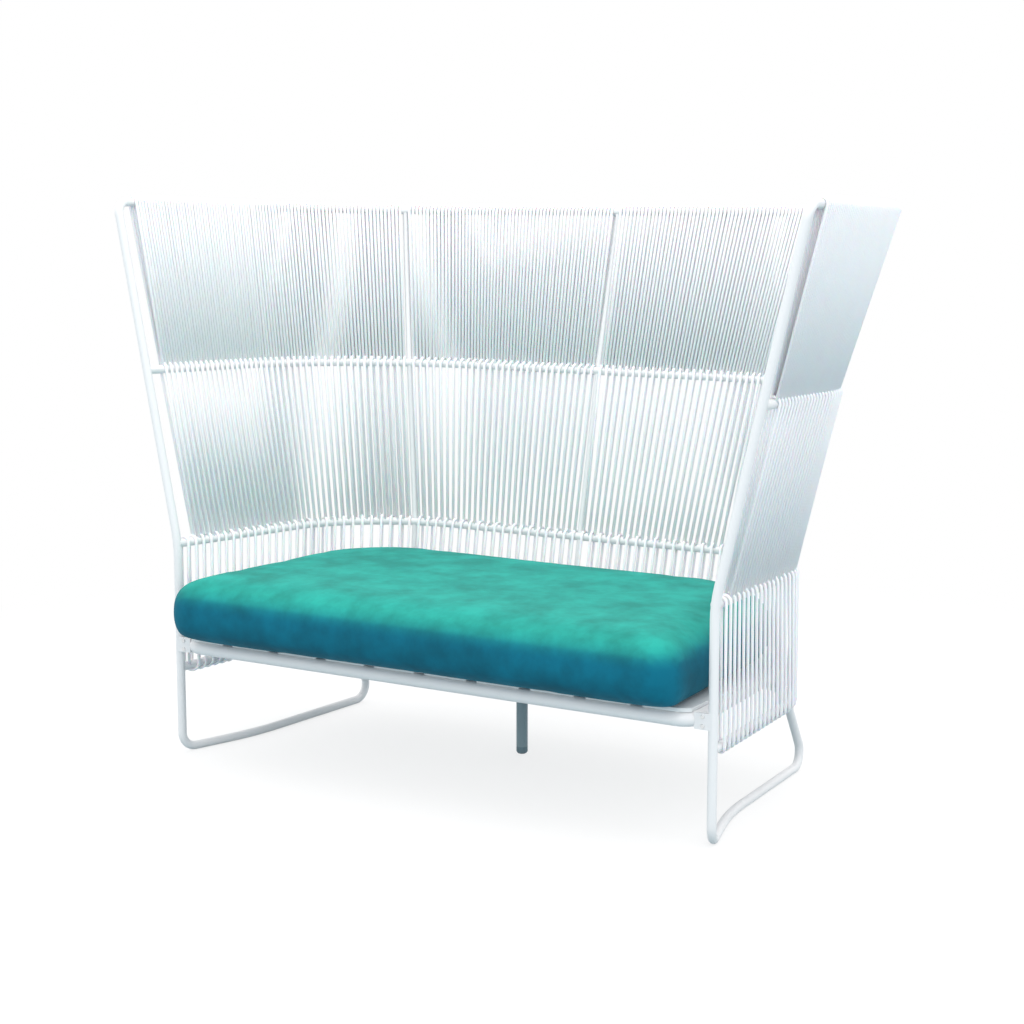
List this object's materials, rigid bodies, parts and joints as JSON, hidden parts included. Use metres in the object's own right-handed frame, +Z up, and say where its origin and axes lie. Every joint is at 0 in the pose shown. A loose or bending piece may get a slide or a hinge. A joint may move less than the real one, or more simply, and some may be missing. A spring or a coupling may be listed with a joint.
{
  "type": "high back settee",
  "caption": "Two-seat settee with a high winged back: bent tube frame wound with cord in three tiers, slatted deck on a tube loop and one loose seat cushion.",
  "frame": {"origin": "centre of the settee's footprint rectangle, at floor level", "axes": "+Z up, +Y from the open front to the back, +X to the right of someone facing the front of the settee"},
  "size_m": [1.768, 1.0072, 1.2991],
  "materials": {
    "frame": "smooth white powder coat",
    "leg": "grey powder coat",
    "slat": "white powder coat",
    "cord": "pale round cord, slightly satin",
    "cushion": "woven outdoor fabric, turquoise",
    "screw": "satin",
    "plug": "moulded"
  },
  "bodies": {
    "frame": {"bottom_rail": "frame", "bracket_screws": "screw", "centre_leg": "leg", "cords_lower_back_left": "cord", "cords_lower_back_right": "cord", "cords_lower_wing_left": "cord", "cords_lower_wing_right": "cord", "cords_middle_back_left": "cord", "cords_middle_back_right": "cord", "cords_middle_wing_left": "cord", "cords_middle_wing_right": "cord", "cords_top_back_left": "cord", "cords_top_back_right": "cord", "cords_top_wing_left": "cord", "cords_top_wing_right": "cord", "leg_plug": "plug", "lower_rail": "frame", "mid_rail": "frame", "seat_bracket_left": "frame", "seat_bracket_right": "frame", "seat_cross_tube": "frame", "seat_front_tube": "frame", "seat_hoop": "frame", "side_frame_left": "frame", "side_frame_right": "frame", "slat_01": "slat", "slat_02": "slat", "slat_03": "slat", "slat_04": "slat", "slat_05": "slat", "slat_06": "slat", "slat_07": "slat", "slat_08": "slat", "slat_09": "slat", "slat_10": "slat", "top_rail": "frame", "upright_centre_lower": "frame", "upright_centre_middle": "frame", "upright_centre_top": "frame", "upright_left_lower": "frame", "upright_left_middle": "frame", "upright_left_top": "frame", "upright_right_lower": "frame", "upright_right_middle": "frame", "upright_right_top": "frame"},
    "cushion": {"seat_cushion": "cushion"}
  },
  "joints": [
    {"name": "cushion_lift", "type": "slide", "parent": "frame", "child": "cushion", "axis": [0, 0, 1], "range_m": [0, 1.05]}
  ]
}
